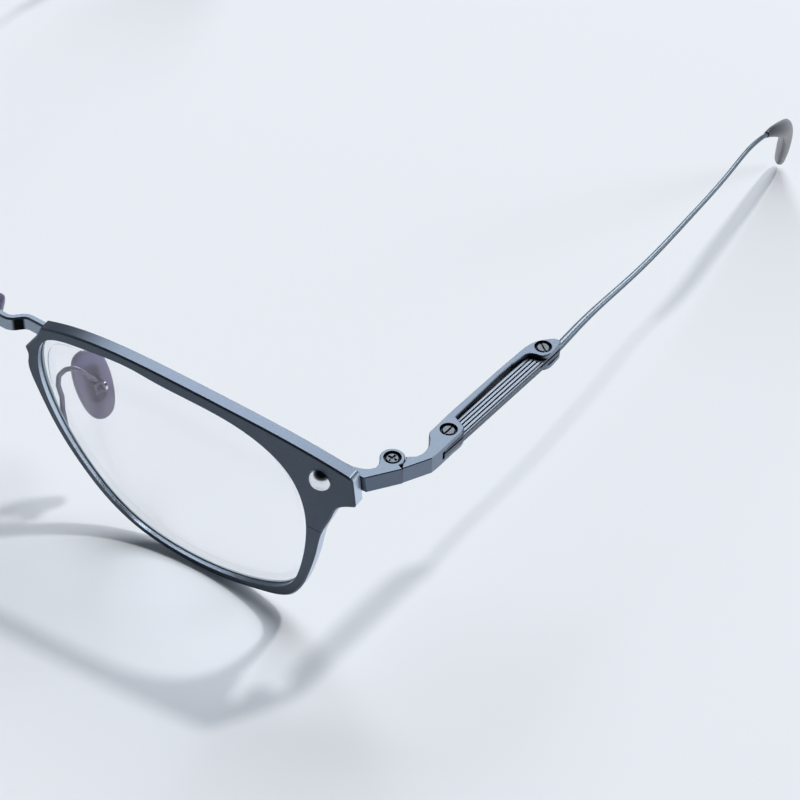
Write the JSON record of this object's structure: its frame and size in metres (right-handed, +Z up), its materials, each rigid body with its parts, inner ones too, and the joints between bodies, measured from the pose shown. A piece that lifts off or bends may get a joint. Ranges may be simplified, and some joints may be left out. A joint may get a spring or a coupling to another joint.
{
  "type": "square eyeglasses",
  "caption": "Square wire-arm eyeglasses: stepped bridge, clear lenses in split metal rims, rocking nose pads, folding temples with ribbed bars and dark sleeve tips.",
  "frame": {"origin": "centre of the bounding box across and back, at the level the rims rest on", "axes": "+X to the wearer's left, +Y from the lenses back along the temples, +Z up"},
  "size_m": [0.1536, 0.1452, 0.0446],
  "materials": {
    "rim_metal": "satin dark slate coating",
    "lens_clear": "polished, clear, faint violet coating",
    "hinge_metal": "satin dark slate coating",
    "screw_metal": "turned bright steel",
    "stud_metal": "polished dome",
    "bar_metal": "fine milled ribs",
    "wire_metal": "satin dark coating",
    "tip_plastic": "smooth dark sleeve",
    "pad_metal": "bright bent wire",
    "pad_silicone": "soft translucent violet grey",
    "pad_core_metal": "stamped metal"
  },
  "bodies": {
    "front": {"bridge": "rim_metal", "left_rim": "rim_metal", "left_lens": "lens_clear", "left_closing_block_upper": "rim_metal", "left_closing_block_lower": "rim_metal", "left_closing_screw": "screw_metal", "left_end_piece": "hinge_metal", "left_stud": "stud_metal", "left_pad_arm": "pad_metal", "left_pad_box": "pad_metal", "left_pad_screw": "pad_metal", "left_hinge_screw": "screw_metal", "left_hinge_washers": "screw_metal", "right_rim": "rim_metal", "right_lens": "lens_clear", "right_closing_block_upper": "rim_metal", "right_closing_block_lower": "rim_metal", "right_closing_screw": "screw_metal", "right_end_piece": "hinge_metal", "right_stud": "stud_metal", "right_pad_arm": "pad_metal", "right_pad_box": "pad_metal", "right_pad_screw": "pad_metal", "right_hinge_screw": "screw_metal", "right_hinge_washers": "screw_metal"},
    "left_temple": {"left_temple_bracket": "hinge_metal", "left_ribbed_bar": "bar_metal", "left_clamp_screws": "screw_metal", "left_temple_wire": "wire_metal", "left_temple_tip": "tip_plastic"},
    "right_temple": {"right_temple_bracket": "hinge_metal", "right_ribbed_bar": "bar_metal", "right_clamp_screws": "screw_metal", "right_temple_wire": "wire_metal", "right_temple_tip": "tip_plastic"},
    "left_nose_pad": {"left_nose_pad": "pad_silicone", "left_pad_core": "pad_core_metal"},
    "right_nose_pad": {"right_nose_pad": "pad_silicone", "right_pad_core": "pad_core_metal"}
  },
  "joints": [
    {"name": "left_temple_hinge", "type": "hinge", "parent": "front", "child": "left_temple", "pos_m": [0.0707, -0.06085, 0.0405], "axis": [0, 0.0426, 0.9991], "range_deg": [0, 85]},
    {"name": "right_temple_hinge", "type": "hinge", "parent": "front", "child": "right_temple", "pos_m": [-0.0707, -0.06085, 0.0405], "axis": [0, -0.0426, -0.9991], "range_deg": [0, 66]},
    {"name": "left_pad_rock", "type": "hinge", "parent": "front", "child": "left_nose_pad", "pos_m": [0.01329, -0.06172, 0.02288], "axis": [0.3957, 0.9144, 0.0855], "range_deg": [-6, 6]},
    {"name": "right_pad_rock", "type": "hinge", "parent": "front", "child": "right_nose_pad", "pos_m": [-0.01329, -0.06172, 0.02288], "axis": [0.3957, -0.9144, -0.0855], "range_deg": [-6, 6]}
  ]
}
